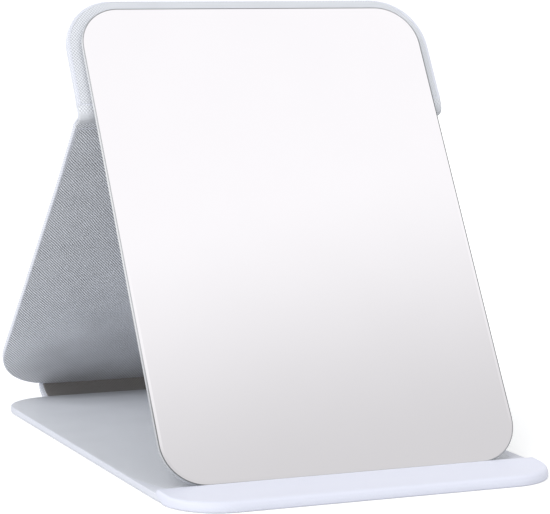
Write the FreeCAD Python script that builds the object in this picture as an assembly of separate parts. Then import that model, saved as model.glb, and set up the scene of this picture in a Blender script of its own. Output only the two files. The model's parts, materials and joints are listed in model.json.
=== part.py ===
import FreeCAD, Part
import math
import os

# A folding table mirror. One glass mirror is fixed to the top of a soft cover, and the cover
# folds in three: a base that lies on the table, a rear panel that leans on the base's back edge
# through a narrow spine, and an upper panel that carries the mirror. Standing, the mirror's foot
# rests on the base just behind a raised hem. Opened out, base, rear and upper panels lie flat.
#
# Millimetres. X runs across the mirror, Y from the front of the base to its rear, Z up. The
# origin is the middle of the base's underside, on the table.

# ---- mirror ----
GLASS_WIDTH = 146.0
GLASS_HEIGHT = 199.0
GLASS_THICK = 1.8
GLASS_CORNER = 17.0
GLASS_BEVEL = 0.5
BACKING_THICK = 1.0
BACKING_INSET = 2.0
TAPE_THICK = 0.6
TAPE_LENGTH = 120.0
TAPE_WIDTH = 12.0
TAPE_SETBACK = 12.0  # the upper strip's middle, down from the free edge of the upper panel
TAPE_SPACING = 18.0  # middle to middle of the two strips

# ---- layers of a cover panel, from its outside to its inside ----
SKIN = 0.7
FOAM = 0.4
BOARD = 1.3
LINING = 0.5
EDGE_ROUND = 1.0  # of the outer skin, where it turns round the panel's edge
INNER_FIT = 0.15  # round each sheet inside the skin's rim

# ---- cover ----
BORDER = 4.6  # of the upper panel past the glass's sides
HEAD_BORDER = 5.4  # of the upper panel past the glass's top
UPPER_LENGTH = 48.6  # of the upper panel, from the apex fold to its free edge
REAR_CORNER = 25.0  # of the rear panel, beside the spine
HEM_DEPTH = 28.0
HEM_FOAM = 0.5
HEM_SKIN = 0.6
SPINE_LENGTH = 10.4  # from fold to fold
SPINE_INSET = 21.6  # from the panels' sides to the spine's ends
SPINE_SHEET = 0.8  # each of the spine's two sheets
CREASE_THICK = 1.6  # of the two sheets together, where they cross the apex fold with no board

# ---- folds ----
PANEL_GAP = 1.4  # from a spine fold to the edge of the panel beside it
APEX_GAP = 2.5  # from the apex fold to the edge of the upper panel
REAR_GAP = 7.5  # from the edge of the rear panel to the apex fold, where the cover bends
APEX_CLEARANCE = 0.3  # between the rear crease's round end and the upper crease

# ---- standing pose, degrees above the table ----
MIRROR_LEAN = 59.2
REAR_LEAN = 45.7
SPINE_LEAN = 33.0
FOOT_CLEARANCE = 0.2  # below the glass's lowest edge
HEM_CLEARANCE = 0.3  # in front of the glass's foot

# ---- closure ----
MAGNET_LENGTH = 20.0
MAGNET_WIDTH = 6.0
MAGNET_COUNT = 4
MAGNET_INSET = 26.6  # from the panels' sides to the middle of the outer magnets
MAGNET_SETBACK = 12.0  # from the base's front edge to the magnets' middle
KEEPER_SETBACK = 8.0  # from the upper panel's free edge to the keepers' middle
POCKET_FIT = 0.2

# ---- worked out from the sizes above ----
PANEL_WIDTH = GLASS_WIDTH + 2 * BORDER
PANEL_CORNER = GLASS_CORNER + BORDER
PANEL_THICK = SKIN + FOAM + BOARD + LINING
HALF = PANEL_THICK / 2
STACK = TAPE_THICK + BACKING_THICK + GLASS_THICK
FOLD_HEIGHT = GLASS_HEIGHT + HEAD_BORDER - UPPER_LENGTH  # up the glass to the apex fold


class Fold:
    """A line along X that a panel turns about, with the panel's slope. Local Y runs along the
    panel, and local Z out of its inner face, from the middle of its thickness."""

    def __init__(self, y, z, slope):
        self.y = y
        self.z = z
        self.slope = slope

    def point(self, along, above):
        """A point given along the panel and above its middle, as Y and Z."""
        c = math.cos(math.radians(self.slope))
        s = math.sin(math.radians(self.slope))
        return self.y + along * c - above * s, self.z + along * s + above * c

    def place(self, shape):
        turn = FreeCAD.Rotation(FreeCAD.Vector(1, 0, 0), self.slope)
        shape.Placement = FreeCAD.Placement(FreeCAD.Vector(0, self.y, self.z), turn)
        return shape


def standing_folds():
    """The folds in the standing pose, with Y from the base's front edge. The mirror's foot sets
    where the apex fold is, the two leans set the rear panel's length, and so the base's depth."""
    foot_y = HEM_DEPTH + HEM_CLEARANCE
    drop = GLASS_THICK * math.cos(math.radians(MIRROR_LEAN))
    foot_z = PANEL_THICK + FOOT_CLEARANCE + drop
    foot = Fold(foot_y, foot_z, MIRROR_LEAN)
    apex_y, apex_z = foot.point(FOLD_HEIGHT, -STACK - HALF)
    rear_z = HALF + SPINE_LENGTH * math.sin(math.radians(SPINE_LEAN))
    rear_length = (apex_z - rear_z) / math.sin(math.radians(REAR_LEAN))
    rear_y = apex_y + rear_length * math.cos(math.radians(REAR_LEAN))
    spine_y = rear_y - SPINE_LENGTH * math.cos(math.radians(SPINE_LEAN))
    return apex_y, apex_z, rear_y, rear_z, rear_length, spine_y


APEX_Y, APEX_Z, REAR_Y, REAR_Z, REAR_LENGTH, SPINE_Y = standing_folds()
BASE_DEPTH = SPINE_Y - PANEL_GAP
CENTRE_Y = BASE_DEPTH / 2

BASE = Fold(-CENTRE_Y, HALF, 0)
SPINE = Fold(SPINE_Y - CENTRE_Y, HALF, SPINE_LEAN)
REAR = Fold(REAR_Y - CENTRE_Y, REAR_Z, 180 - REAR_LEAN)
UPPER = Fold(APEX_Y - CENTRE_Y, APEX_Z, MIRROR_LEAN)


def outline(width, start, end, start_corner, end_corner, inset=0.0):
    """A closed wire in local X and Y: a rectangle from start to end along the panel, with its
    own corner radius at each end, drawn in by inset on every side."""
    x = width / 2 - inset
    y0, y1 = start + inset, end - inset
    r0 = max(start_corner - inset, 0.0)
    r1 = max(end_corner - inset, 0.0)
    corners = [(x, y0, r0, 1, -1), (x, y1, r1, 1, 1), (-x, y1, r1, -1, 1), (-x, y0, r0, -1, -1)]
    edges = []
    ends = []
    for index, (cx, cy, r, out_x, out_y) in enumerate(corners):
        near_y = FreeCAD.Vector(cx, cy - out_y * r, 0)
        near_x = FreeCAD.Vector(cx - out_x * r, cy, 0)
        first, last = (near_x, near_y) if index % 2 == 0 else (near_y, near_x)
        if r > 0:
            k = r * (1 - math.sqrt(0.5))
            middle = FreeCAD.Vector(cx - out_x * k, cy - out_y * k, 0)
            arc = Part.Arc(first, middle, last).toShape()
        else:
            arc = None
        ends.append((first, arc, last))
    for index, (first, arc, last) in enumerate(ends):
        if arc is not None:
            edges.append(arc)
        following = ends[(index + 1) % len(ends)][0]
        edges.append(Part.LineSegment(last, following).toShape())
    return Part.Wire(edges)


def sheet(wire, low, high):
    """The wire's flat area as a sheet from low to high above the panel's middle."""
    face = Part.Face(wire)
    face.translate(FreeCAD.Vector(0, 0, low))
    return face.extrude(FreeCAD.Vector(0, 0, high - low))


def edges_at(shape, level):
    """The edges of shape that lie at one level above the panel's middle."""
    return [e for e in shape.Edges if all(abs(v.Z - level) < 1e-6 for v in e.Vertexes)]


def block(length, width, low, high, x, y):
    """A small box centred on local x, y."""
    corner = FreeCAD.Vector(x - length / 2, y - width / 2, low)
    return Part.makeBox(length, width, high - low, corner)


def group(shapes):
    return Part.makeCompound(shapes)


class Panel:
    """One stiff leaf of the cover: an outer skin with a rim round its edge, and inside the rim
    foam, board and lining."""

    def __init__(self, start, end, start_corner, end_corner):
        self.shape_of = (PANEL_WIDTH, start, end, start_corner, end_corner)

    def sheet(self, inset, low, high):
        return sheet(outline(*self.shape_of, inset=inset), low, high)

    def inner_sheet(self, low, high):
        return self.sheet(SKIN + INNER_FIT, low, high)

    def outer_skin(self):
        body = self.sheet(0.0, -HALF, HALF)
        body = body.makeFillet(EDGE_ROUND, edges_at(body, -HALF))
        return body.cut(self.sheet(SKIN, -HALF + SKIN, HALF + SKIN))

    def foam(self):
        return self.inner_sheet(-HALF + SKIN, -HALF + SKIN + FOAM)

    def board(self, pockets=()):
        body = self.inner_sheet(*board_levels())
        for pocket in pockets:
            body = body.cut(pocket)
        return body

    def lining(self):
        return self.inner_sheet(HALF - LINING, HALF)


def board_levels():
    return HALF - LINING - BOARD, HALF - LINING


def closure_row(along, fit=0.0):
    """A row of flat bars across the panel, in its board."""
    low, high = board_levels()
    last = PANEL_WIDTH / 2 - MAGNET_INSET
    spacing = 2 * last / (MAGNET_COUNT - 1)
    length, width = MAGNET_LENGTH + 2 * fit, MAGNET_WIDTH + 2 * fit
    row = []
    for index in range(MAGNET_COUNT):
        row.append(block(length, width, low, high, index * spacing - last, along))
    return row


def base_parts():
    panel = Panel(0.0, BASE_DEPTH, PANEL_CORNER, PANEL_CORNER)
    pockets = closure_row(MAGNET_SETBACK, POCKET_FIT)
    return {
        "base_outer_skin": panel.outer_skin(),
        "base_foam": panel.foam(),
        "base_board": panel.board(pockets),
        "base_lining": panel.lining(),
        "closure_magnets": group(closure_row(MAGNET_SETBACK)),
    }


def hem_parts():
    """The front hem: a padded band turned back over the front of the base."""
    low, top = HALF, HALF + HEM_FOAM + HEM_SKIN
    size = (PANEL_WIDTH, 0.0, HEM_DEPTH, PANEL_CORNER, 0.0)
    body = sheet(outline(*size), low, top)
    body = body.makeFillet(HEM_SKIN, edges_at(body, top))
    cavity = sheet(outline(*size, inset=HEM_SKIN), low - HEM_FOAM, low + HEM_FOAM)
    foam = sheet(outline(*size, inset=HEM_SKIN + INNER_FIT), low, low + HEM_FOAM)
    return {"front_hem_skin": body.cut(cavity), "front_hem_foam": foam}


def spine_sheet(side):
    """Half of the spine's thickness, round at both folds: the outside for side -1, the inside
    for side 1."""
    r = SPINE_SHEET
    diagonal = r * math.sqrt(0.5)
    start, end = FreeCAD.Vector(0, -r, 0), FreeCAD.Vector(0, SPINE_LENGTH + r, 0)
    low_start = FreeCAD.Vector(0, 0, side * r)
    low_end = FreeCAD.Vector(0, SPINE_LENGTH, side * r)
    middle_start = FreeCAD.Vector(0, -diagonal, side * diagonal)
    middle_end = FreeCAD.Vector(0, SPINE_LENGTH + diagonal, side * diagonal)
    edges = [
        Part.Arc(start, middle_start, low_start).toShape(),
        Part.LineSegment(low_start, low_end).toShape(),
        Part.Arc(low_end, middle_end, end).toShape(),
        Part.LineSegment(end, start).toShape(),
    ]
    face = Part.Face(Part.Wire(edges))
    width = PANEL_WIDTH - 2 * SPINE_INSET
    face.translate(FreeCAD.Vector(-width / 2, 0, 0))
    return face.extrude(FreeCAD.Vector(width, 0, 0))


def spine_parts():
    return {"spine_outer_skin": spine_sheet(-1), "spine_lining": spine_sheet(1)}


def crease(start, end):
    """A strip of the cover with no board in it, across the panel from start to end."""
    half = CREASE_THICK / 2
    return block(PANEL_WIDTH, end - start, -half, half, 0.0, (start + end) / 2)


def rear_parts():
    panel = Panel(PANEL_GAP, REAR_LENGTH - REAR_GAP, REAR_CORNER, 0.0)
    round_end = Part.makeCylinder(
        CREASE_THICK / 2,
        PANEL_WIDTH,
        FreeCAD.Vector(-PANEL_WIDTH / 2, REAR_LENGTH, 0),
        FreeCAD.Vector(1, 0, 0),
    )
    return {
        "rear_outer_skin": panel.outer_skin(),
        "rear_foam": panel.foam(),
        "rear_board": panel.board(),
        "rear_lining": panel.lining(),
        "rear_crease": crease(REAR_LENGTH - REAR_GAP, REAR_LENGTH).fuse(round_end).removeSplitter(),
    }


def upper_parts():
    panel = Panel(APEX_GAP, UPPER_LENGTH, 0.0, PANEL_CORNER)
    row = UPPER_LENGTH - KEEPER_SETBACK
    return {
        "upper_outer_skin": panel.outer_skin(),
        "upper_foam": panel.foam(),
        "upper_board": panel.board(closure_row(row, POCKET_FIT)),
        "upper_lining": panel.lining(),
        "upper_crease": crease(CREASE_THICK / 2 + APEX_CLEARANCE, APEX_GAP),
        "keeper_plates": group(closure_row(row)),
    }


def mirror_parts():
    """The glass with its backing plate, and the tape that holds them to the upper panel."""
    foot, head = -FOLD_HEIGHT, GLASS_HEIGHT - FOLD_HEIGHT
    size = (GLASS_WIDTH, foot, head, GLASS_CORNER, GLASS_CORNER)
    tape_top = HALF + TAPE_THICK
    backing_top = tape_top + BACKING_THICK
    glass_top = backing_top + GLASS_THICK
    glass = sheet(outline(*size), backing_top, glass_top)
    glass = glass.makeChamfer(GLASS_BEVEL, edges_at(glass, glass_top))
    strips = []
    for index in range(2):
        along = UPPER_LENGTH - TAPE_SETBACK - index * TAPE_SPACING
        strips.append(block(TAPE_LENGTH, TAPE_WIDTH, HALF, tape_top, 0.0, along))
    return {
        "mirror_glass": glass,
        "mirror_backing": sheet(outline(*size, inset=BACKING_INSET), tape_top, backing_top),
        "mounting_tape": group(strips),
    }


def main():
    os.makedirs("parts", exist_ok=True)
    built = [
        (BASE, base_parts()),
        (BASE, hem_parts()),
        (SPINE, spine_parts()),
        (REAR, rear_parts()),
        (UPPER, upper_parts()),
        (UPPER, mirror_parts()),
    ]
    for fold, parts in built:
        for node, shape in parts.items():
            placed = fold.place(shape)
            placed.exportStep(f"parts/{node}.step")
            print(f"{node}: {placed.Volume:.0f} mm3, valid {placed.isValid()}")
    print(f"base depth {BASE_DEPTH:.3f}, rear panel fold to fold {REAR_LENGTH:.3f}")
    for name, fold in (("spine", SPINE), ("rear", REAR), ("apex", UPPER)):
        print(f"{name} fold at y {fold.y:.4f} z {fold.z:.4f}, slope {fold.slope:.2f}")


main()
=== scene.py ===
import json
import math

import bmesh
import bpy
from mathutils import Matrix, Vector, noise
from mathutils.geometry import delaunay_2d_cdt


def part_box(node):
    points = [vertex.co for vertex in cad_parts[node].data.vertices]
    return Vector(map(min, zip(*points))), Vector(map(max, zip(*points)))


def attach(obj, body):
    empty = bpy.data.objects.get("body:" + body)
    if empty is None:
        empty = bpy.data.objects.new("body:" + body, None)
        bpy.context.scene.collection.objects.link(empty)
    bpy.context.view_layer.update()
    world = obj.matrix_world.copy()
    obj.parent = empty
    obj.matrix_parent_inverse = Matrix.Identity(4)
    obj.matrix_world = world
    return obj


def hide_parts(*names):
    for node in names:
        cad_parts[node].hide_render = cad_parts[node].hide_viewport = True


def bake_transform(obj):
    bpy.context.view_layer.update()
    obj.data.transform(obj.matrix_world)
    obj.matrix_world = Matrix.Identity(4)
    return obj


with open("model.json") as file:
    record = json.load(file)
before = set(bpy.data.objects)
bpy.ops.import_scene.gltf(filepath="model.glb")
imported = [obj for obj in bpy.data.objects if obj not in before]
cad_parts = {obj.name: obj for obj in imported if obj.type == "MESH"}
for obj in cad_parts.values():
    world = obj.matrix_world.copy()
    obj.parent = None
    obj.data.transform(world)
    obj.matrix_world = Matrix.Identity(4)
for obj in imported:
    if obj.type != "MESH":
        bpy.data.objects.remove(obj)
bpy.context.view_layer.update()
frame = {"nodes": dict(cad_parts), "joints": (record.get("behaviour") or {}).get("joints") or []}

# A folding table mirror. Lengths are millimetres until a mesh is made, and every piece is drawn
# in the local frame of the fold that its panel turns about: X across, Y along the panel away
# from the fold, Z out of the panel's inner face, measured from the middle of its thickness.
MM = 0.001

# ---- cover ----
SKIN = 0.7  # outer sheet
RIM_DROP = 0.03  # of the rim's top below the panel's inner face
RIM_TAPER = 0.03  # how much narrower the rim is at its top
RIM_ROLL = 0.35  # how far the rim rounds over at the inner face
EDGE_ROLL = 1.0  # the same at the outer face
FOLD_ROLL = 0.06  # both, where a web runs on from the panel's end
FOLD_RUN = (0.1, 1.2)  # from that end, between which the edge rounds over again
LINING_INSET = 0.72  # of the lining's edge from the panel's
LINING_TAPER = 0.02  # how much further in its underside starts
LINING_ROLL = 0.3
LINING_DROP = 0.05
LINING_THICK = 0.5
SEAT_DROP = 0.02  # of the seat's foot below the lining
RIM_COVER = 0.58  # how far the rear lining reaches over the rim beside the spine
RIM_COVER_RUN = (0.8, 2.4)  # from the panel's end, between which that runs out
PANEL_CORNER = 21.6
REAR_CORNER = 25.0
SQUARE_CORNER = 0.4
FACE_WAVE = 0.10  # how deep the outer faces dip between their edges
FACE_WAVE_RUN = (1.0, 14.0)  # from the edge, between which that dip deepens
FACE_WAVE_SIZE = 46.0  # of the hollows in it
FACE_WAVE_EVEN = 0.55  # share of its depth that is the same everywhere
LAP = 8.0  # how far the outer sheet laps over the base's lining at its sides, by the hem
LAP_REACH = 36.0  # behind the hem, where that lap has run out
LAP_CURVE = 1.8  # more than 1 for a hollow edge

# ---- meshes ----
GRID = 4.0  # spacing of the points inside a flat face
GRID_CLEAR = 0.45  # share of that spacing that stays free inside a ring
SIDE_STEP = 4.0  # spacing of the points along a straight edge
CORNER_STEPS = 14
LEAST_CORNER = 0.1  # radius that a corner keeps, however far in a ring runs
ROLL_STEPS = 6  # rings over each rounded edge of a panel
LINING_STEPS = 5
OUTWARD_STEP = 0.2  # in from a border, to see which way is out
SHARP = 50  # degrees between two faces, past which their edge is drawn sharp
FACES_INSIDE = 1  # delaunay_2d_cdt's output type: no faces outside the border
SAME_POINT = 1e-6

# ---- hem ----
HEM_ROLL = 3.0  # how far its front rounds over
HEM_SHOULDER = -0.1  # where that rounding starts, above the middle of the base
HEM_SIDE_ROLL = 0.9  # the same at its two ends
HEM_REAR_ROLL = 0.22
HEM_END_RAMP = 4.0  # its rear edge rounds over this many times as far at the ends
HEM_END = (3.5, 1.0)  # from the panel's side, between which that grows
HEM_FRONT = 0.7  # share of the corner along which the front's rounding eases to the side's
HEM_CROWN = 0.5  # how much higher it stands along its rear edge
HEM_CROWN_RUN = (2.0, 13.0)  # from that edge, between which it falls
HEM_LOW = 0.06  # how much lower it lies in front of that
HEM_EASE = 0.05  # height of the soft waves in it
HEM_EASE_SIZE = 17.0
HEM_EASE_SIDE = (1.5, 8.0)  # in from the edge, between which they grow
HEM_EASE_REAR = (1.5, 6.0)  # the same from the rear edge
HEM_REST = 0.01  # of its underside above the base
HEM_UNDERSIDE = 0.9  # inset of that underside's edge
HEM_LANDING = (6.5, 0.5)  # from its rear edge, between which its wall sinks onto the base
HEM_WRAP = 0.45  # of the base's edge behind the hem's front wall
HEM_WRAP_RUN = (5.0, 2.0)  # before and past the hem's rear edge, between which that ends
HEM_RIM_ROLL = 0.24  # of the base's rim under the hem
HEM_WRAP_TOP = 0.05  # of the wrapped edge's top below the base's inner face
HEM_WALL = (  # inset, and height above the base's underside, down behind the wall and up it
    (HEM_WRAP, 0.9),
    (0.62, 0.40),
    (0.72, 0.30),
    (0.66, 0.05),
    (0.42, 0.06),
    (0.2, 0.19),
    (0.06, 0.42),
    (0.0, 0.8),
)
HEM_WALL_TOP = 0.2  # of the wall's last ring below the shoulder
HEM_WALL_LEFT = 0.2  # share of those insets that is left at the band's rear corners
HEM_INSETS = (0.0, 0.02, 0.07, 0.15, 0.28, 0.45, 0.7, 1.0, 1.4, 1.9, 2.6, 3.4)  # of its top rings
HEM_GRID = 1.6
PUCKERS = ((-74, 0.6), (-61, 1.0), (-52, 0.75), (-38, 0.45), (-22, 0.3))  # degrees, share
PUCKER_DEPTH = 0.34
PUCKER_WIDTH = 2.6  # degrees round the corner
PUCKER_START = (0.2, 1.2)  # in from the edge, between which they deepen
PUCKER_END = (3.0, 10.0)  # between which they run out

# ---- webs over the folds ----
SPINE_TUCK = 0.6  # how far the spine reaches under the base's rounded edge
SPINE_THINNER = 0.2  # than half a panel there
SPINE_HANDLES = (3.0, 3.0)  # how far it runs straight out of each panel
SPINE_MIDDLE = (2.2, 0.9)  # half its thickness between its folds, outer sheet and inner
SPINE_SETBACK = 1.6  # of the inner sheet's ends from the outer sheet's
APEX_HANDLES = (4.5, 7.2)
APEX_MIDDLE = (1.2, 1.44)
APEX_INSET = 0.05  # of the apex web's ends from the panels' sides
APEX_SMOOTH = (2.9, 6.2)  # down from the upper panel, where the bend has stretched the grain away
APEX_SMOOTH_FADE = 0.4  # to either side of those two places
SWELL = 0.6  # of the cover's padded sides from the apex up, past the base's
SWELL_RUN = 40.0  # down the rear panel, where that has run out
SWELL_SIDE = (22.0, 4.0)  # in from a panel's side, between which it grows
WEB_SWELL_SIDE = (6.0, 1.0)  # the same on a web
WEB_END = 6.0  # in from a web's end, where the panel's edge starts to round over again
WEB_THINNER = 0.01  # than half a panel, where it runs on from one
WEB_CURVE = 0.8  # below 1, so that it soon has its middle's thickness
WEB_ROUNDING = ((0.0, 0.35), (0.12, 0.75), (0.45, 1.0))  # inset from its end, share of its height
WEB_STEPS = 16
LENGTH_STEPS = 24

# ---- mirror ----
GLASS_CORNER = 17.0
CHAMFER = 0.15  # ground off the glass's front edge
SEAM = 0.28  # beside it, where the silver has been ground away too
ARRIS = 0.12  # off its back edge
BEVEL_WIDTH = 1.5
BEVEL_DROP = 0.09
SEAM_DROP = 0.8  # of that, at the seam's inner edge
GLASS_GRID = 24.0

# ---- grain ----
GRAIN_PITCH = 0.92  # across the ridges of the leather's hatch
GRAIN_WAYS = ((1.0, 0.88), (1.0, -0.88))
FLAT_GRAIN = 0.58  # height, from 0 to 1, of a sheet with its ridges pressed flat
FINE_GRAIN = 0.3  # height of the fine specks on it
FINE_SCALE = 2600.0  # specks per metre
WANDER_SCALE = 160.0  # bends per metre in a ridge
WANDER = 0.8  # how far it strays
PATCH_SCALE = 45.0  # lighter and darker patches per metre
PATCH_SHARE = 0.2  # of the tone that is theirs, and not the grain's
TONE_RANGE = (0.2, 0.9)  # of a groove and of a ridge
RIDGE_LIGHT = 0.6  # how much lighter a ridge is, partly painted light, as a share of how much darker a groove is
GROOVE_ROUGH = 0.08  # how much rougher a groove is than the leather
RIDGE_SHINE = 0.14  # how much smoother a ridge is than a groove
RUBBED_UP = (25.0, 75.0)  # up the rear lining, between which its rubbed grain comes back
RUBBED_ACROSS = (50.0, 90.0)  # the same from its middle to its sides
RUBBED_LEFT = 0.25  # of the grain where it is rubbed most
FOLD_SHADE_ENDS = (42.0, 30.0)  # from the middle to where painted shade fades, and the length it fades over
FOLD_SHADE_ENDS_SHARE = 0.4  # how far it has faded by then
FOLD_SHADE_FADE = ((0.0, 0.0), (0.45, 0.72), (1.0, 1.0))  # share of its reach, share of it faded

# ---- other surfaces ----
NOISE_RANGE = (0.3, 0.7)  # between which most noise lies
ROUGH_SPREAD = 0.2  # of roughness over that noise
DUST_SCALE = 1800.0  # specks per metre on ground glass
POLISH_SCALE = 30.0  # patches per metre on the mirror's face
POLISH_ROUGH = 0.012  # the most that they roughen it
POLISH_DULL = (0.965, 0.970, 0.972)
POLISH_CLEAR = (0.975, 0.980, 0.982)

# ---- camera, as the photograph was taken ----
LENS = 158.11
CAMERA_AT = (-371.38, -890.58, 196.78)
CAMERA_YAW = 22.92
CAMERA_PITCH = 7.16
CAMERA_ROLL = 0.255


# ======== small helpers


def mix(a, b, t):
    return a + (b - a) * t


def smooth(low, high, value):
    """0 below low, 1 above high, and smooth between."""
    t = min(max((value - low) / (high - low), 0.0), 1.0)
    return t * t * (3 - 2 * t)


def toward_side(x, half_width, start, full):
    """From 0 at start in from either side to 1 at full."""
    return smooth(half_width - start, half_width - full, abs(x))


def quarter(value):
    """The height of a quarter circle of radius 1, from its foot at 0 to its crown at 1."""
    t = 1 - min(max(value, 0.0), 1.0)
    return math.sqrt(1 - t * t)


def wave(x, y, size):
    """Smooth noise from -1 to 1 with hollows about size across."""
    return noise.noise(Vector((x / size, y / size, 0.37)))


# ======== folds


class Fold:
    """The frame of one panel: the line it turns about and its slope above the table."""

    def __init__(self, y, z, slope):
        self.y = y
        self.z = z
        self.slope = math.radians(slope)
        turn = Matrix.Rotation(self.slope, 4, "X")
        self.matrix = Matrix.Translation((0, y, z)) @ turn

    def direction(self):
        return Vector((0, math.cos(self.slope), math.sin(self.slope)))

    def point(self, along):
        return self.matrix @ Vector((0, along, 0))

    def box(self, node):
        """Lowest and highest corner of a node in this frame."""
        back = self.matrix.inverted()
        corners = [back @ (v.co / MM) for v in frame["nodes"][node].data.vertices]
        low = Vector([min(c[axis] for c in corners) for axis in range(3)])
        high = Vector([max(c[axis] for c in corners) for axis in range(3)])
        return low, high


def joint(name):
    return next(j for j in frame["joints"] if j["name"] == name)


def fold_at(name, slope):
    _, y, z = joint(name)["pos_m"]
    return Fold(y / MM, z / MM, slope)


def turn_of(name):
    return joint(name)["range_deg"][1]


BASE_LOW, BASE_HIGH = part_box("base_outer_skin")
HALF = (BASE_HIGH.z - BASE_LOW.z) / MM / 2
BASE_DEPTH = (BASE_HIGH.y - BASE_LOW.y) / MM
HALF_WIDTH = BASE_HIGH.x / MM

base_fold = Fold(BASE_LOW.y / MM, HALF, 0.0)
REAR_SLOPE = turn_of("spine_fold") + turn_of("rear_fold")
rear_fold = fold_at("rear_fold", REAR_SLOPE)
upper_fold = fold_at("apex_fold", REAR_SLOPE - turn_of("apex_fold"))

HEM_LOWEST, HEM_HIGHEST = base_fold.box("front_hem_skin")
HEM_DEPTH = HEM_HIGHEST.y - HEM_LOWEST.y
HEM_HEIGHT = HEM_HIGHEST.z - HALF


# ======== meshes


class Outline:
    """A rounded rectangle from start to end along a panel, with its own corner radius at each
    end. Every ring that is taken from it has the same points, so rings join into faces."""

    def __init__(self, half_width, start, end, start_corner, end_corner):
        self.half_width = half_width
        self.start = start
        self.end = end
        self.corners = [
            (-1, start, start_corner, 180),
            (1, start, start_corner, 270),
            (1, end, end_corner, 0),
            (-1, end, end_corner, 90),
        ]
        self.places = []
        for index in range(4):
            for step in range(CORNER_STEPS + 1):
                self.places.append((index, step / CORNER_STEPS, None))
            first = self.corner_point(index, 1.0, 0.0)
            last = self.corner_point((index + 1) % 4, 0.0, 0.0)
            steps = max(2, round((last - first).length / SIDE_STEP))
            for step in range(1, steps):
                self.places.append((index, 1.0, step / steps))
        self.count = len(self.places)
        self.border = [self.at(index, 0.0) for index in range(self.count)]

    def corner_point(self, index, share, inset):
        side, end, radius, angle = self.corners[index]
        inward = 1 if end == self.start else -1
        r = max(radius - inset, LEAST_CORNER)
        a = math.radians(angle + 90 * share)
        centre_x = side * (self.half_width - inset - r)
        centre_y = end + inward * (inset + r)
        return Vector((centre_x + r * math.cos(a), centre_y + r * math.sin(a)))

    def at(self, index, inset):
        corner, share, along = self.places[index]
        point = self.corner_point(corner, share, inset)
        if along is None:
            return point
        return point.lerp(self.corner_point((corner + 1) % 4, 0.0, inset), along)

    def depth(self, x, y):
        """How far a point lies inside the outline."""
        middle = (self.start + self.end) / 2
        radius = self.corners[0][2] if y < middle else self.corners[2][2]
        across = abs(x) - (self.half_width - radius)
        along = max(self.start + radius - y, y - (self.end - radius))
        if across > 0 and along > 0:
            return radius - math.hypot(across, along)
        return radius - max(across, along)

    def ring(self, profile):
        """One point for each place, where profile(x, y) of the border gives inset and height."""
        points = []
        for index, (x, y) in enumerate(self.border):
            inset, height = profile(x, y)
            inner = self.at(index, inset)
            points.append((inner.x, inner.y, height))
        return points

    def level(self, inset, height):
        return self.ring(lambda x, y: (inset, height))


def no_margin(x, y):
    return 0.0


def triangles(ring, outline, spacing, margin):
    """A square grid of points inside a ring, and the triangles that join them with it. margin
    is how much further in the ring runs than it does at its nearest."""
    x, y, _ = ring[0]
    inset = outline.depth(x, y) - margin(x, y)
    inner = []
    columns = int(outline.half_width // spacing)
    rows = int((outline.end - outline.start) // spacing)
    for row in range(rows + 1):
        y = outline.start + row * spacing
        for column in range(-columns, columns + 1):
            x = column * spacing
            if outline.depth(x, y) - margin(x, y) > max(inset, 0.0) + spacing * GRID_CLEAR:
                inner.append((x, y))
    points = [Vector((p[0], p[1])) for p in ring] + [Vector(p) for p in inner]
    edges = [(i, (i + 1) % len(ring)) for i in range(len(ring))]
    made = delaunay_2d_cdt(points, edges, [], FACES_INSIDE, SAME_POINT)
    faces, origin = made[2], made[3]
    return inner, [[origin[v][0] for v in face] for face in faces]


def finish_mesh(name, bm, place, sharp_angle, grain):
    """Makes the object, in metres. grain gives each point's place on the sheet laid flat."""
    bmesh.ops.recalc_face_normals(bm, faces=bm.faces)
    mesh = bpy.data.meshes.new(name)
    bm.to_mesh(mesh)
    bm.free()
    cover_at = mesh.attributes.new("cover_at", "FLOAT_VECTOR", "POINT")
    for point, value in zip(grain, cover_at.data):
        value.vector = (point[0] * MM, point[1] * MM, 0)
    for vertex in mesh.vertices:
        vertex.co = place(vertex.co) * MM
    mesh.polygons.foreach_set("use_smooth", [True] * len(mesh.polygons))
    if sharp_angle is not None:
        mesh.set_sharp_from_angle(angle=math.radians(sharp_angle))
    piece = bpy.data.objects.new(name, mesh)
    bpy.context.scene.collection.objects.link(piece)
    return piece


def laid_flat(outline, rings):
    """Where each ring's points lie when the edge is unrolled outward from the last ring."""
    flat = [[(x, y) for x, y, _ in rings[-1]]]
    for ring, inner in zip(rings[-2::-1], rings[:0:-1]):
        points = []
        for index, (here, there) in enumerate(zip(ring, inner)):
            outward = (outline.at(index, 0.0) - outline.at(index, OUTWARD_STEP)).normalized()
            step = (Vector(here) - Vector(there)).length
            last = flat[0][index]
            points.append((last[0] + outward.x * step, last[1] + outward.y * step))
        flat.insert(0, points)
    return flat


def ringed(
    name, fold, outline, rings, last=None, spacing=GRID, bands=None, sharp=SHARP, margin=no_margin
):
    """A closed piece from rings, with a face over the first and the last. last gives the height
    inside the last face from x and y, and bands a material number for each gap."""
    bm = bmesh.new()
    levels = [[bm.verts.new(p) for p in ring] for ring in rings]
    grain = [point for ring in laid_flat(outline, rings) for point in ring]
    for index, (lower, upper) in enumerate(zip(levels, levels[1:])):
        for i in range(outline.count):
            j = (i + 1) % outline.count
            face = bm.faces.new((lower[i], lower[j], upper[j], upper[i]))
            face.material_index = bands[index + 1] if bands else 0
    for end, height in ((0, None), (-1, last)):
        inner, faces = triangles(rings[end], outline, spacing, margin)
        level = rings[end][0][2]
        added = [bm.verts.new((x, y, height(x, y) if height else level)) for x, y in inner]
        grain.extend(inner)
        corners = levels[end] + added
        for face in faces:
            made = bm.faces.new([corners[v] for v in face])
            made.material_index = bands[end] if bands else 0
    return finish_mesh(name, bm, lambda p: fold.matrix @ p, sharp, grain)


def dress(piece, body, materials, replaces):
    for material in materials:
        piece.data.materials.append(material)
    if body:
        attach(piece, body)
    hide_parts(*replaces)
    return piece


# ======== panels


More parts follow.
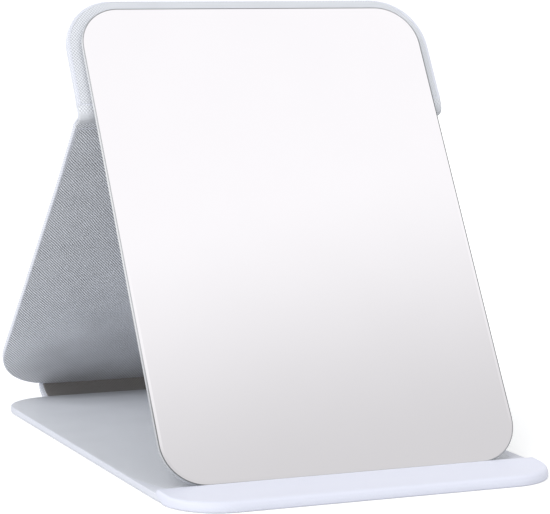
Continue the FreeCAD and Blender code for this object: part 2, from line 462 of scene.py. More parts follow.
def dip(x, y, outline):
    """How far an outer face lies below its edges: thin padding under a taut sheet."""
    inside = smooth(*FACE_WAVE_RUN, outline.depth(x, y))
    uneven = (1 - FACE_WAVE_EVEN) * wave(x, y, FACE_WAVE_SIZE)
    return FACE_WAVE * inside * (FACE_WAVE_EVEN + uneven)


def quarter_turn(start, end, radius, centre_height, inset):
    """Inset and height along part of a rounded edge, between two angles above the wall."""
    turn = []
    for step in range(ROLL_STEPS):
        angle = math.radians(mix(start, end, step / (ROLL_STEPS - 1)))
        back = radius * (1 - math.cos(angle))
        turn.append((inset + back, centre_height + radius * math.sin(angle)))
    return turn


def cover(name, fold, outline, edge, lap=no_margin):
    """The outer skin of a panel, a tray with a rounded, padded edge. edge(x, y) gives how far
    the wall stands back, and how far it rounds over at the inner and at the outer face. lap is
    how far the rim reaches in over the lining's place."""
    rim = HALF - RIM_DROP

    def rolled(step):
        def profile(x, y):
            back, inner, outer = edge(x, y)
            if step < ROLL_STEPS:
                return quarter_turn(90, 0, inner, rim - inner, back)[step]
            return quarter_turn(0, -90, outer, outer - HALF, back)[step - ROLL_STEPS]

        return profile

    seat = HALF - LINING_THICK
    rings = [outline.level(SKIN, SKIN - HALF), outline.level(SKIN, seat - SEAT_DROP)]
    rings.append(outline.ring(lambda x, y: (SKIN + lap(x, y), seat)))
    rings.append(outline.ring(lambda x, y: (SKIN - RIM_TAPER + lap(x, y), rim)))
    rings.extend(outline.ring(rolled(step)) for step in range(2 * ROLL_STEPS))
    return ringed(name, fold, outline, rings, last=lambda x, y: -HALF + dip(x, y, outline))


def lining(name, fold, outline, lap=no_margin):
    """The inner sheet of a panel, seated inside the rim with its edge rounded down."""

    def edge(inset, height):
        return outline.ring(lambda x, y: (inset + lap(x, y), height))

    rings = [edge(LINING_INSET + LINING_TAPER, HALF - LINING_THICK)]
    for step in range(LINING_STEPS + 1):
        angle = math.radians(90 * step / LINING_STEPS)
        inset = LINING_INSET + LINING_ROLL * (1 - math.cos(angle))
        rings.append(edge(inset, HALF - LINING_DROP * (1 - math.sin(angle))))
    return ringed(name, fold, outline, rings, margin=lap)


def base_panel(outer, inner):
    outline = Outline(HALF_WIDTH, 0.0, BASE_DEPTH, PANEL_CORNER, PANEL_CORNER)

    def edge(x, y):
        before, past = HEM_WRAP_RUN
        free = smooth(HEM_DEPTH - before, HEM_DEPTH + past, y)
        return HEM_WRAP * (1 - free), mix(HEM_RIM_ROLL, RIM_ROLL, free), EDGE_ROLL

    def lap(x, y):
        """The sheet that the hem is made of runs out along the sides behind it."""
        return LAP * (1 - min(max((y - HEM_DEPTH) / LAP_REACH, 0.0), 1.0)) ** LAP_CURVE

    skin = cover("base_cover", base_fold, outline, edge, lap)
    dress(skin, "base", [outer], ["base_outer_skin"])
    sheet = lining("base_inner", base_fold, outline, lap)
    dress(sheet, "base", [inner], ["base_lining"])


def leaning_panel(part, body, fold, corners, outer, inner):
    """The rear or the upper panel. Its edge stays square where a web runs on from it."""
    low, high = fold.box(part + "_outer_skin")
    outline = Outline(HALF_WIDTH, low.y, high.y, *corners)
    spine_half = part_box("spine_lining")[1].x / MM
    whole = 2 * HALF_WIDTH  # well past the panel's sides
    webs = {"rear": ((low.y, spine_half), (high.y, whole)), "upper": ((low.y, whole),)}[part]

    def edge(x, y):
        square = 0.0
        for end, reach in webs:
            near = 1 - smooth(*FOLD_RUN, abs(y - end))
            square = max(square, near * (1 - smooth(reach - WEB_END, reach, abs(x))))
        swell = SWELL * toward_side(x, HALF_WIDTH, *SWELL_SIDE)
        if part == "rear":
            swell *= smooth(high.y - SWELL_RUN, high.y, y)
        return -swell, mix(RIM_ROLL, FOLD_ROLL, square), mix(EDGE_ROLL, FOLD_ROLL, square)

    def lap(x, y):
        """Beside the spine the rear lining reaches over the rim, to the panel's edge."""
        if part != "rear":
            return 0.0
        near = 1 - smooth(*RIM_COVER_RUN, y - low.y)
        return -RIM_COVER * near * (1 - smooth(spine_half - WEB_END, spine_half, abs(x)))

    skin = cover(part + "_cover", fold, outline, edge, lap)
    dress(skin, body, [outer], [part + "_outer_skin"])
    sheet = lining(part + "_inner", fold, outline, lap)
    dress(sheet, body, [inner], [part + "_lining"])


# ======== hem


def pucker(x, y, outer):
    """Small gathers of the sheet where it turns round the base's front corners."""
    across = abs(x) - (HALF_WIDTH - PANEL_CORNER)
    along = PANEL_CORNER - y
    if across < 0 or along < 0:
        return 0.0
    angle = -math.degrees(math.atan2(across, along))
    fade = smooth(*PUCKER_START, outer) * (1 - smooth(*PUCKER_END, outer))
    total = 0.0
    for place, share in PUCKERS:
        offset = (angle - place) / PUCKER_WIDTH
        total += share * math.exp(-offset * offset)
    return PUCKER_DEPTH * total * fade


def front_hem(material):
    """The raised band across the front: the cover turned up round the base's front edge and
    back over the base, on thin padding."""
    outline = Outline(HALF_WIDTH, 0.0, HEM_DEPTH, PANEL_CORNER, SQUARE_CORNER)
    base = Outline(HALF_WIDTH, 0.0, BASE_DEPTH, PANEL_CORNER, PANEL_CORNER)
    rest = HALF + HEM_REST
    landing, landed = HEM_LANDING

    def frontness(y):
        return 1 - smooth(HEM_DEPTH - landing, HEM_DEPTH - landed, y)

    def shoulder(y):
        return mix(rest, HEM_SHOULDER, frontness(y))

    def top(x, y):
        outer = base.depth(x, y)
        behind = HEM_DEPTH - y
        end = toward_side(x, HALF_WIDTH, *HEM_END)
        roll = mix(HEM_SIDE_ROLL, HEM_ROLL, 1 - smooth(0.0, PANEL_CORNER * HEM_FRONT, y))
        rear = HEM_REAR_ROLL * mix(1.0, HEM_END_RAMP, end)
        rise = quarter(outer / roll) * quarter(behind / rear)
        inside = smooth(*HEM_EASE_SIDE, outer) * smooth(*HEM_EASE_REAR, behind)
        ease = HEM_EASE * wave(x, y, HEM_EASE_SIZE) * inside
        crown = HEM_CROWN * (1 - smooth(*HEM_CROWN_RUN, behind)) - HEM_LOW
        foot = shoulder(y)
        return foot + (HALF + HEM_HEIGHT + crown + ease - pucker(x, y, outer) - foot) * rise

    def wrap(inset, level):
        """A point of the front wall, which sinks onto the base at the band's rear corners."""

        def profile(x, y):
            share = frontness(y)
            return inset * mix(HEM_WALL_LEFT, 1.0, share), mix(rest, level, share)

        return profile

    def on_top(inset):
        def profile(x, y):
            index = outline.border.index(Vector((x, y)))
            inner = outline.at(index, inset)
            return inset, top(inner.x, inner.y)

        return profile

    rings = [outline.level(HEM_UNDERSIDE, rest)]
    wall = [(HEM_WRAP, HALF - HEM_WRAP_TOP)]
    wall += [(inset, above - HALF) for inset, above in HEM_WALL]
    wall += [(0.0, HEM_SHOULDER - HEM_WALL_TOP)]
    rings.extend(outline.ring(wrap(inset, level)) for inset, level in wall)
    rings.extend(outline.ring(on_top(inset)) for inset in HEM_INSETS)
    hem = ringed("front_hem", base_fold, outline, rings, last=top, spacing=HEM_GRID, sharp=None)
    dress(hem, "base", [material], ["front_hem_skin", "front_hem_foam"])


# ======== webs over the folds


def bezier(points, t):
    a, b, c, d = points
    s = 1 - t
    return a * s**3 + b * (3 * s * s * t) + c * (3 * s * t * t) + d * t**3


def slope_of(points, t):
    a, b, c, d = points
    s = 1 - t
    return ((b - a) * s * s + (c - b) * (2 * s * t) + (d - c) * t * t).normalized()


def web_path(first, first_end, second, second_start, handles):
    """The middle of a flexible strip from one panel's edge to the next one's."""
    start = first.point(first_end)
    end = second.point(second_start)
    return (
        start,
        start + first.direction() * handles[0],
        end - second.direction() * handles[1],
        end,
    )


def run_of(path, t=1.0):
    """Length along a web's path from its start to t."""
    places = [bezier(path, t * step / LENGTH_STEPS) for step in range(LENGTH_STEPS + 1)]
    return sum((there - here).length for here, there in zip(places, places[1:]))


def web(name, path, span, half_width, side, swell, thickness, grain_at):
    """One of a strip's two sheets, over a span of its path: the outer one for side -1 and the
    inner one for side 1. Its sides swell out by swell. thickness(t) is half the strip's, and
    grain_at(t) tells where the grain is along the sheet, laid flat, and how far it is stretched
    away there."""
    steps = max(2, round(2 * half_width / SIDE_STEP))
    between = [(mix(-half_width, half_width, step / steps), 1.0) for step in range(1, steps)]
    ends = [(-half_width + inset, share) for inset, share in WEB_ROUNDING]
    stations = ends + between + [(-x, share) for x, share in reversed(ends)]
    bm = bmesh.new()
    grain = []
    stretched = []
    loops = []
    for x, share in stations:
        loop = []
        aside = math.copysign(swell * toward_side(x, half_width, *WEB_SWELL_SIDE), x)
        for back in (False, True):
            for step in range(WEB_STEPS + 1):
                part = step / WEB_STEPS
                t = mix(span[0], span[1], 1 - part if back else part)
                along = slope_of(path, t)
                outward = Vector((0, -along.z, along.y)) * side
                sheet = thickness(t) / 2
                offset = sheet + (sheet if not back else -sheet) * share
                point = bezier(path, t) + outward * offset
                loop.append(bm.verts.new((x + aside, point.y, point.z)))
                place, flat = grain_at(t)
                grain.append((x, place))
                stretched.append(flat)
        loops.append(loop)
    count = len(loops[0])
    for here, there in zip(loops, loops[1:]):
        for i in range(count):
            j = (i + 1) % count
            bm.faces.new((here[i], here[j], there[j], there[i]))
    for loop in (loops[0], loops[-1]):
        for i in range(WEB_STEPS):
            bm.faces.new((loop[i], loop[i + 1], loop[count - 2 - i], loop[count - 1 - i]))
    piece = finish_mesh(name, bm, lambda p: p, SHARP, grain)
    marks = piece.data.attributes.new("stretched", "FLOAT", "POINT")
    marks.data.foreach_set("value", stretched)
    return piece


def thinning(start, middle, end):
    """Half a web's thickness along it, from one panel over its middle to the next panel."""

    def half(t):
        centre = math.sin(math.pi * min(max(t, 0), 1)) ** WEB_CURVE
        return mix(mix(start, end, t), middle, centre)

    return half


FLUSH = HALF - WEB_THINNER  # half a web's thickness where it runs on from a panel


def spine(outer, inner):
    """The narrow strip between base and rear panel, in two lengths that meet at its middle."""
    rear_start = rear_fold.box("rear_outer_skin")[0].y
    path = web_path(base_fold, BASE_DEPTH - SPINE_TUCK, rear_fold, rear_start, SPINE_HANDLES)
    length = run_of(path)
    half_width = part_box("spine_lining")[1].x / MM
    middle = bezier(path, 0.5)

    def grain_at(t):
        return rear_start - length + run_of(path, t), 0.0

    lengths = [
        ("front", (0.0, 0.5), "base", "spine", path[0], middle),
        ("back", (0.5, 1.0), "spine", "rear_panel", middle, path[3]),
    ]
    # The inner sheet takes the dark leather that stands in for the fold's shade.
    sheets = [
        (-1, "outer", "spine_outer_skin", "pu_outer", outer, SPINE_MIDDLE[0], 0.0),
        (1, "inner", "spine_lining", "pu_spine", inner, SPINE_MIDDLE[1], SPINE_SETBACK),
    ]
    for side, sheet, node, slot, material, thickness, setback in sheets:
        half = thinning(HALF - SPINE_THINNER, thickness, FLUSH)
        for label, span, first, second, start, end in lengths:
            name = f"spine_{sheet}_{label}"
            piece = web(name, path, span, half_width - setback, side, 0.0, half, grain_at)
            dress(piece, None, [material], [node])
            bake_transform(piece)


def apex(outer, inner, rear_inner):
    """The crease where the cover bends from the rear panel to the upper panel."""
    rear_end = rear_fold.box("rear_outer_skin")[1].y
    upper_start = upper_fold.box("upper_outer_skin")[0].y
    path = web_path(rear_fold, rear_end, upper_fold, upper_start, APEX_HANDLES)
    length = run_of(path)
    near, far = APEX_SMOOTH
    fade = APEX_SMOOTH_FADE

    def grain_at(t):
        """The rear panel's grain up to the middle of the bend, and the upper panel's past it."""
        run = run_of(path, t)
        down = length - run
        flat = smooth(near - fade, near + fade, down) * (1 - smooth(far - fade, far + fade, down))
        return (rear_end + run if down > (near + far) / 2 else upper_start - down), flat

    sheets = [
        (-1, "apex_outer", "upper_crease", "pu_outer", [outer], APEX_MIDDLE[0]),
        (1, "apex_inner", "rear_crease", "pu_lining", [inner, rear_inner], APEX_MIDDLE[1]),
    ]
    for side, name, node, slot, materials, middle in sheets:
        half = thinning(FLUSH, middle, FLUSH)
        width = HALF_WIDTH - APEX_INSET
        piece = web(name, path, (0.0, 1.0), width, side, SWELL, half, grain_at)
        dress(piece, None, materials, [node])
        cover_at = piece.data.attributes["cover_at"].data
        for face in piece.data.polygons:
            on_rear = all(cover_at[i].vector[1] > rear_end / 2 * MM for i in face.vertices)
            face.material_index = 1 if on_rear and len(materials) > 1 else 0
        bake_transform(piece)


# ======== mirror


def mirror(face, edge, seam, back):
    """The glass: painted back, ground edge, dark seam, and a silvered face with a bevel."""
    low, high = upper_fold.box("mirror_glass")
    outline = Outline(high.x, low.y, high.y, GLASS_CORNER, GLASS_CORNER)
    rings = [
        outline.level(ARRIS, low.z),
        outline.level(0.0, low.z + ARRIS),
        outline.level(0.0, high.z - BEVEL_DROP - CHAMFER),
        outline.level(CHAMFER, high.z - BEVEL_DROP),
        outline.level(CHAMFER + SEAM, high.z - BEVEL_DROP * SEAM_DROP),
        outline.level(BEVEL_WIDTH, high.z),
    ]
    bands = [3, 1, 1, 2, 2, 0, 0]
    glass = ringed(
        "mirror_glass_plate", upper_fold, outline, rings, spacing=GLASS_GRID, bands=bands, sharp=2
    )
    dress(glass, "mirror_panel", [face, edge, seam, back], ["mirror_glass"])


# ======== materials


def new_material(name):
    material = bpy.data.materials.new(name)
    material.use_nodes = True
    return material, material.node_tree, material.node_tree.nodes["Principled BSDF"]


def math_node(tree, operation, *values):
    node = tree.nodes.new("ShaderNodeMath")
    node.operation = operation
    for socket, value in zip(node.inputs, values):
        if isinstance(value, (int, float)):
            socket.default_value = value
        else:
            tree.links.new(value, socket)
    return node.outputs[0]


def noise_node(tree, where, scale, detail=3.0, output="Fac"):
    """Noise with scale in features per metre."""
    node = tree.nodes.new("ShaderNodeTexNoise")
    node.inputs["Scale"].default_value = scale
    node.inputs["Detail"].default_value = detail
    tree.links.new(where, node.inputs["Vector"])
    return node.outputs[output]


def ramp_node(tree, value, stops, blending="LINEAR"):
    node = tree.nodes.new("ShaderNodeValToRGB")
    node.color_ramp.interpolation = blending
    tree.links.new(value, node.inputs["Fac"])
    elements = node.color_ramp.elements
    while len(elements) < len(stops):
        elements.new(0.5)
    for element, (position, color) in zip(elements, stops):
        element.position = position
        element.color = (*color, 1.0)
    return node.outputs["Color"]


def bump_node(tree, height, relief_mm):
    node = tree.nodes.new("ShaderNodeBump")
    node.inputs["Distance"].default_value = relief_mm * MM
    node.inputs["Strength"].default_value = 1.0
    tree.links.new(height, node.inputs["Height"])
    return node.outputs["Normal"]


def dot_node(tree, way, direction):
    node = tree.nodes.new("ShaderNodeVectorMath")
    node.operation = "DOT_PRODUCT"
    tree.links.new(way, node.inputs[0])
    node.inputs[1].default_value = direction
    return node.outputs["Value"]


def stripes(tree, where, direction, pitch_mm):
    """Rounded ridges from 0 to 1 across a direction, pitch_mm apart."""
    length = math.hypot(*direction)
    turns = [2 * math.pi * part / length / (pitch_mm * MM) for part in direction]
    wavy = math_node(tree, "SINE", dot_node(tree, where, (*turns, 0.0)))
    return math_node(tree, "MULTIPLY_ADD", wavy, 0.5, 0.5)


def wandering(tree, where, scale, amount_mm):
    """Coordinates with a slight, smooth wander, so that ridges aren't ruled straight."""
    bends = noise_node(tree, where, scale, 1.0, "Color")
    scaled = tree.nodes.new("ShaderNodeVectorMath")
    scaled.operation = "MULTIPLY_ADD"
    tree.links.new(bends, scaled.inputs[0])
    scaled.inputs[1].default_value = (amount_mm * MM,) * 3
    tree.links.new(where, scaled.inputs[2])
    return scaled.outputs["Vector"]


def share_node(tree, value, low_mm, high_mm):
    """How far a length in metres is from low to high: 0 at low and 1 at high, not clamped."""
    reach = high_mm - low_mm
    return math_node(tree, "MULTIPLY_ADD", value, 1 / reach / MM, -low_mm / reach)


def sheet_place(tree):
    """Where a point is on its sheet laid flat, in metres."""
    node = tree.nodes.new("ShaderNodeAttribute")
    node.attribute_name = "cover_at"
    return node.outputs["Vector"]


def rough_node(tree, grain, roughness):
    return math_node(tree, "MULTIPLY_ADD", grain, ROUGH_SPREAD, roughness - ROUGH_SPREAD / 2)


def aside_and_along(tree, place):
    """How far a place is from the sheet's middle line, and where it is along the sheet."""
    parts = tree.nodes.new("ShaderNodeSeparateXYZ")
    tree.links.new(place, parts.inputs[0])
    return math_node(tree, "ABSOLUTE", parts.outputs["X"]), parts.outputs["Y"]


def shade(color, factor):
    return tuple(part * factor for part in color)


def painted_fold_shade(tree, color, place, fold_mm, reach_mm, left):
    """Painted shade of a fold: the colour, darker toward a line across the sheet, and less so
    toward its two ends.
    """
    middle_mm, ends_mm = FOLD_SHADE_ENDS
    aside, along = aside_and_along(tree, place)
    away = math_node(tree, "SUBTRACT", along, fold_mm * MM)
    away = math_node(tree, "ABSOLUTE", away)
    aside = math_node(tree, "SUBTRACT", aside, middle_mm * MM)
    aside = math_node(tree, "MAXIMUM", aside, 0.0)
    ends = math_node(tree, "MULTIPLY", aside, FOLD_SHADE_ENDS_SHARE / ends_mm / MM)
    share = math_node(tree, "MULTIPLY_ADD", away, 1 / reach_mm / MM, ends)
    stops = [(position, (mix(left, 1, faded),) * 3) for position, faded in FOLD_SHADE_FADE]
    product = tree.nodes.new("ShaderNodeVectorMath")
    product.operation = "MULTIPLY"
    tree.links.new(color, product.inputs[0])
    tree.links.new(ramp_node(tree, share, stops), product.inputs[1])
    return product.outputs["Vector"]


def kept_grain(tree, place):
    """How much of the rear lining's grain is left, from 0 to 1: where the folded mirror lies on
    it, toward its lower edge and middle, it is rubbed flat."""
    aside, along = aside_and_along(tree, place)
    up = share_node(tree, along, *RUBBED_UP)
    total = math_node(tree, "ADD", up, share_node(tree, aside, *RUBBED_ACROSS))
    total.node.use_clamp = True
    return math_node(tree, "MULTIPLY_ADD", total, 1 - RUBBED_LEFT, RUBBED_LEFT)


def leather(name, color, grain, stretched=False, fold_shade=None, rubbed=False):
    """PU leather with a cross-hatched emboss. grain gives the share of the ridges that run one
    way, the relief, the contrast of the grooves (partly painted shade in them, and painted light
    on the ridges), and the roughness. stretched fades the grain as the mesh's own marks say.
    The next argument, the painted shade toward a fold, gives a fold's place along the sheet, how
    far from it the shade is painted, and the share of the colour left there. rubbed takes the
    grain out where the folded mirror lies on the sheet."""
    ridge, relief_mm, tone_and_shade, roughness = grain
    material, tree, shader = new_material(name)
    place = sheet_place(tree)
    where = wandering(tree, place, WANDER_SCALE, WANDER)
    strong, weak = (stripes(tree, where, way, GRAIN_PITCH) for way in GRAIN_WAYS)
    strong = math_node(tree, "MULTIPLY", strong, ridge)
    crossed = math_node(tree, "MULTIPLY_ADD", weak, 1 - ridge, strong)
    fine = noise_node(tree, place, FINE_SCALE)
    height = math_node(tree, "MULTIPLY_ADD", fine, FINE_GRAIN, crossed)
    kept = None
    if stretched:
        flat = tree.nodes.new("ShaderNodeAttribute")
        flat.attribute_name = "stretched"
        kept = math_node(tree, "MULTIPLY_ADD", flat.outputs["Fac"], -1.0, 1.0)
    if rubbed:
        kept = kept_grain(tree, place)
    if kept:
        above = math_node(tree, "SUBTRACT", height, FLAT_GRAIN)
        height = math_node(tree, "MULTIPLY_ADD", above, kept, FLAT_GRAIN)
    patch = noise_node(tree, place, PATCH_SCALE)
    tone = math_node(tree, "MULTIPLY", height, 1 - PATCH_SHARE)
    tone = math_node(tree, "MULTIPLY_ADD", patch, PATCH_SHARE, tone)
    # Groove and ridge tints: partly the grain's tone, partly painted shade and painted light.
    tints = (shade(color, 1 - tone_and_shade), shade(color, 1 + tone_and_shade * RIDGE_LIGHT))
    tinted = ramp_node(tree, tone, list(zip(TONE_RANGE, tints)))
    # Painted shade, darker toward the fold.
    if fold_shade:
        tinted = painted_fold_shade(tree, tinted, place, *fold_shade)
    tree.links.new(tinted, shader.inputs["Base Color"])
    rough = math_node(tree, "MULTIPLY_ADD", height, -RIDGE_SHINE, roughness + GROOVE_ROUGH)
    tree.links.new(rough, shader.inputs["Roughness"])
    tree.links.new(bump_node(tree, height, relief_mm), shader.inputs["Normal"])
    return material


def plain(name, color, spread, scale, roughness, relief_mm, metallic=0.0):
    """A hidden or minor material: colour, roughness and surface vary with noise. spread is the
    share by which the colour varies, and scale the noise's features per metre."""
    material, tree, shader = new_material(name)
    place = tree.nodes.new("ShaderNodeTexCoord").outputs["Object"]
    grain = noise_node(tree, place, scale, detail=6.0)
    stops = list(zip(NOISE_RANGE, (shade(color, 1 - spread), shade(color, 1 + spread))))
    tree.links.new(ramp_node(tree, grain, stops), shader.inputs["Base Color"])
    tree.links.new(rough_node(tree, grain, roughness), shader.inputs["Roughness"])
    tree.links.new(bump_node(tree, grain, relief_mm), shader.inputs["Normal"])
    shader.inputs["Metallic"].default_value = metallic
    return material


def silvered(name):
    """The mirror's reflecting face, with a trace of uneven polish."""
    material, tree, shader = new_material(name)
    shader.inputs["Metallic"].default_value = 1.0
    place = tree.nodes.new("ShaderNodeTexCoord").outputs["Object"]
    patch = noise_node(tree, place, POLISH_SCALE)
    stops = list(zip(NOISE_RANGE, (POLISH_DULL, POLISH_CLEAR)))
    tree.links.new(ramp_node(tree, patch, stops), shader.inputs["Base Color"])
    rough = math_node(tree, "MULTIPLY", patch, POLISH_ROUGH)
    tree.links.new(rough, shader.inputs["Roughness"])
    return material


def ground_glass(name, axis, colors, roughness):
    """Matt glass. colors gives its colour at places along an axis, in order."""
    material, tree, shader = new_material(name)
    place = sheet_place(tree)
    first, last = colors[0][0], colors[-1][0]
    along = dot_node(tree, place, Vector(axis).normalized())
    share = share_node(tree, along, first, last)
    stops = [((at - first) / (last - first), color) for at, color in colors]
    tree.links.new(ramp_node(tree, share, stops), shader.inputs["Base Color"])
    dust = noise_node(tree, place, DUST_SCALE)
    tree.links.new(rough_node(tree, dust, roughness), shader.inputs["Roughness"])
    return material


# ======== studio


SKY = 0.80  # light from every side
SKY_COLOR = (0.985, 0.995, 1.0)
ROOM_WHITE = (0.973, 0.947, 0.973)  # the room that gloss reflects
ROOM_GREY = (0.663, 0.645, 0.663)  # its greyer end
ROOM_AXIS = (0.405, -0.910, 0.087)  # toward the middle of that end
ROOM_EASE = (0.698, 0.783)  # cosines of the angle to it, between which white turns to grey
SILVER = 0.972  # share of light that the mirror reflects
KEY = 1.4  # the lamp's strength
KEY_SPREAD = 50.0  # degrees across the lamp
KEY_TOWARD = (0.66, 0.40, -0.64)
FLOOR_RADIUS = 40000.0
FLOOR_DROP = 0.05  # below the table's plane
FLOOR_COLOR = 0.8
FLOOR_GLOW = 0.4  # which only the camera sees


def choice(tree, other_chosen, usual, other):
    """One of two shaders, by what kind of ray meets it."""
    node = tree.nodes.new("ShaderNodeMixShader")
    for socket, value in zip(node.inputs, (other_chosen, usual, other)):
        tree.links.new(value, socket)
    return node.outputs[0]


def studio_world():
    """White to the camera, and a soft studio to the object. What gloss and the mirror see is a
    white room with one greyer end."""
    world = bpy.data.worlds.new("studio")
    bpy.context.scene.world = world
    world.use_nodes = True
    tree = world.node_tree
    tree.nodes.clear()
    way = tree.nodes.new("ShaderNodeTexCoord").outputs["Generated"]
    light = tree.nodes.new("ShaderNodeBackground")
    light.inputs["Color"].default_value = (*SKY_COLOR, 1.0)
    light.inputs["Strength"].default_value = SKY
    seen = tree.nodes.new("ShaderNodeBackground")
    across = dot_node(tree, way, Vector(ROOM_AXIS).normalized())
    ends = (shade(ROOM_WHITE, 1 / SILVER), shade(ROOM_GREY, 1 / SILVER))
    eased = ramp_node(tree, across, list(zip(ROOM_EASE, ends)), "EASE")
    tree.links.new(eased, seen.inputs["Color"])
    white = tree.nodes.new("ShaderNodeBackground")
    white.inputs["Color"].default_value = (1.0, 1.0, 1.0, 1.0)
    rays = tree.nodes.new("ShaderNodeLightPath")
    room = choice(tree, rays.outputs["Is Glossy Ray"], light.outputs[0], seen.outputs[0])
    room = choice(tree, rays.outputs["Is Camera Ray"], room, white.outputs[0])
    output = tree.nodes.new("ShaderNodeOutputWorld")
    tree.links.new(room, output.inputs["Surface"])


def floor():
    """A pale floor. To the camera it glows a little, which brings it to white where nothing
    shades it."""
    bm = bmesh.new()
    bmesh.ops.create_circle(bm, cap_ends=True, radius=FLOOR_RADIUS * MM, segments=96)
    mesh = bpy.data.meshes.new("floor")
    bm.to_mesh(mesh)
    bm.free()
    piece = bpy.data.objects.new("floor", mesh)
    piece.location.z = -FLOOR_DROP * MM
    bpy.context.scene.collection.objects.link(piece)
    material, tree, shader = new_material("pale_floor")
    shader.inputs["Base Color"].default_value = (FLOOR_COLOR,) * 3 + (1.0,)
    shader.inputs["Roughness"].default_value = 1.0
    shader.inputs["Specular IOR Level"].default_value = 0.0
    shader.inputs["Emission Color"].default_value = (1.0, 1.0, 1.0, 1.0)
    rays = tree.nodes.new("ShaderNodeLightPath").outputs["Is Camera Ray"]
    glow = math_node(tree, "MULTIPLY", rays, FLOOR_GLOW)
    tree.links.new(glow, shader.inputs["Emission Strength"])
    mesh.materials.append(material)


def key_light():
    """A large soft lamp high on the left, in front. Gloss doesn't show it."""
    data = bpy.data.lights.new("key", "SUN")
    data.energy = KEY
    data.angle = math.radians(KEY_SPREAD)
    lamp = bpy.data.objects.new("key", data)
    lamp.visible_glossy = False
    lamp.rotation_mode = "QUATERNION"
    lamp.rotation_quaternion = Vector(KEY_TOWARD).to_track_quat("-Z", "Y")
    bpy.context.scene.collection.objects.link(lamp)


def camera():
    data = bpy.data.cameras.new("camera")
    data.lens = LENS
    data.clip_end = 100.0
    seen = bpy.data.objects.new("camera", data)
    yaw, pitch, roll = (math.radians(a) for a in (CAMERA_YAW, CAMERA_PITCH, CAMERA_ROLL))
    forward = Vector(
        (math.sin(yaw) * math.cos(pitch), math.cos(yaw) * math.cos(pitch), -math.sin(pitch))
    )
    level = Vector((math.cos(yaw), -math.sin(yaw), 0))
    upright = level.cross(forward)
    right = math.cos(roll) * level + math.sin(roll) * upright
    up = -math.sin(roll) * level + math.cos(roll) * upright
    turn = Matrix((right, up, -forward)).transposed().to_4x4()
    seen.matrix_world = Matrix.Translation(Vector(CAMERA_AT) * MM) @ turn
    bpy.context.scene.collection.objects.link(seen)
    bpy.context.scene.camera = seen


# ======== the whole


OUTER_COLOR = (0.75, 0.77, 0.845)
HEM_COLOR = (0.735, 0.755, 0.86)
LINING_COLOR = (0.71, 0.73, 0.775)
# Painted light: the base's lining is a 3 percent lighter copy of the lining's colour.
BASE_LINING_LIT_COLOR = (0.73, 0.75, 0.797)
# Painted shade: the spine's inner sheet is dark, standing in for the deep shade in the fold.
SPINE_SHADE_COLOR = (0.185, 0.175, 0.168)

# Share of the ridges that run one way, relief, contrast of the grooves (partly painted shade),
# roughness.
OUTER_GRAIN = (0.6, 0.08, 0.16, 0.5)
HEM_GRAIN = (0.6, 0.012, 0.01, 0.42)
LINING_GRAIN = (0.6, 0.1, 0.36, 0.5)
BASE_GRAIN = (0.6, 0.1, 0.3, 0.5)
# The rear lining's grooves are mostly painted shade, and its ridges painted light, as if grazing
# light.
REAR_GRAIN = (0.72, 0.14, 0.8, 0.5)
SPINE_GRAIN = (0.6, 0.08, 0.2, 0.6)

# Place along the sheet, reach of the painted fold shade, share of the colour that is left there.
BASE_FOLD_SHADE = (BASE_DEPTH, 28.0, 0.5)
REAR_FOLD_SHADE = (0.0, 38.0, 0.7)

EDGE_AXIS = (0.0, 1.0, 0.0)  # up the glass, whose ground edge is darker near its foot
EDGE_DARKER = (0.52, 0.53, 0.555)
EDGE_PALE = (0.76, 0.765, 0.78)
EDGE_COLORS = ((-115.0, EDGE_DARKER), (-85.0, EDGE_PALE))
SEAM_AXIS = (0.806, 0.592, 0.0)  # across the glass, from its lower left to its upper right corner
SEAM_FOOT = (0.17, 0.175, 0.18)  # at the lower left corner
SEAM_LIT = (0.46, 0.465, 0.48)  # painted light, from the left: up the left side and along the foot
SEAM_DARK = (0.12, 0.125, 0.13)  # along the top and down the right side
SEAM_COLORS = ((-136.0, SEAM_FOOT), (-118.0, SEAM_LIT), (-48.0, SEAM_LIT), (-18.0, SEAM_DARK))


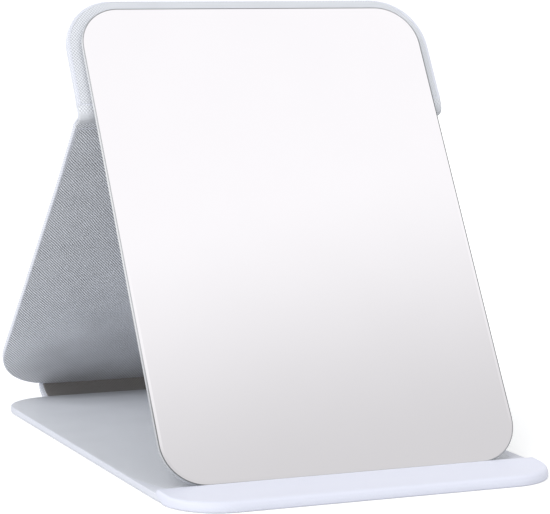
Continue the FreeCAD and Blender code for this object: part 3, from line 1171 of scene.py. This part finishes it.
def dress_cad_nodes():
    """Materials for the CAD nodes that stay: what lies between the sheets and behind the glass."""
    # Colour, its spread, grain per metre, roughness, relief, and 1 for metal.
    board = plain("grey_board", (0.62, 0.60, 0.56), 0.08, 900.0, 0.85, 0.05)
    foam = plain("foam", (0.85, 0.85, 0.86), 0.05, 2500.0, 0.9, 0.08)
    looks = {
        "base_board": board,
        "rear_board": board,
        "upper_board": board,
        "base_foam": foam,
        "rear_foam": foam,
        "upper_foam": foam,
        "closure_magnets": plain("nickel", (0.70, 0.70, 0.72), 0.04, 700.0, 0.25, 0.004, 1.0),
        "keeper_plates": plain("steel", (0.60, 0.60, 0.62), 0.06, 500.0, 0.38, 0.006, 1.0),
        # Dark tape and backing: their own colour, and painted shade deepening the gap under the
        # glass.
        "mounting_tape": plain("foam_tape", (0.22, 0.22, 0.23), 0.08, 2200.0, 0.8, 0.05),
        "mirror_backing": plain("backing", (0.32, 0.33, 0.35), 0.05, 1500.0, 0.6, 0.02),
    }
    for node, material in looks.items():
        piece = frame["nodes"][node]
        piece.data.materials.clear()
        piece.data.materials.append(material)


def main():
    camera()
    studio_world()
    floor()
    key_light()
    outer = leather("outer_leather", OUTER_COLOR, OUTER_GRAIN)
    hem = leather("hem_leather", HEM_COLOR, HEM_GRAIN)
    inner = leather("lining_leather", LINING_COLOR, LINING_GRAIN)
    # The base's lining: a lit copy of the lining's colour, with painted shade toward the spine.
    base_inner = leather("base_lining_lit_leather", BASE_LINING_LIT_COLOR, BASE_GRAIN, fold_shade=BASE_FOLD_SHADE)
    # The rear lining: painted shade toward the spine.
    rear_inner = leather(
        "rear_lining_leather", LINING_COLOR, REAR_GRAIN, fold_shade=REAR_FOLD_SHADE, rubbed=True
    )
    outer_crease = leather("outer_crease_leather", OUTER_COLOR, OUTER_GRAIN, stretched=True)
    crease = leather("crease_leather", LINING_COLOR, LINING_GRAIN, stretched=True)
    rear_crease = leather("rear_crease_leather", LINING_COLOR, REAR_GRAIN, stretched=True)
    spine_shaded = leather("spine_shaded_leather", SPINE_SHADE_COLOR, SPINE_GRAIN)
    base_panel(outer, base_inner)
    leaning_panel("rear", "rear_panel", rear_fold, (REAR_CORNER, SQUARE_CORNER), outer, rear_inner)
    leaning_panel(
        "upper", "mirror_panel", upper_fold, (SQUARE_CORNER, PANEL_CORNER), outer, inner
    )
    front_hem(hem)
    spine(outer, spine_shaded)
    apex(outer_crease, crease, rear_crease)
    face = silvered("silvered_face")
    edge = ground_glass("ground_edge", EDGE_AXIS, EDGE_COLORS, roughness=0.4)
    seam = ground_glass("glass_seam", SEAM_AXIS, SEAM_COLORS, roughness=0.6)
    back = plain("mirror_paint", (0.45, 0.46, 0.48), 0.04, 900.0, 0.5, 0.01)
    mirror(face, edge, seam, back)
    dress_cad_nodes()


main()
bpy.context.scene.view_settings.view_transform = "Standard"
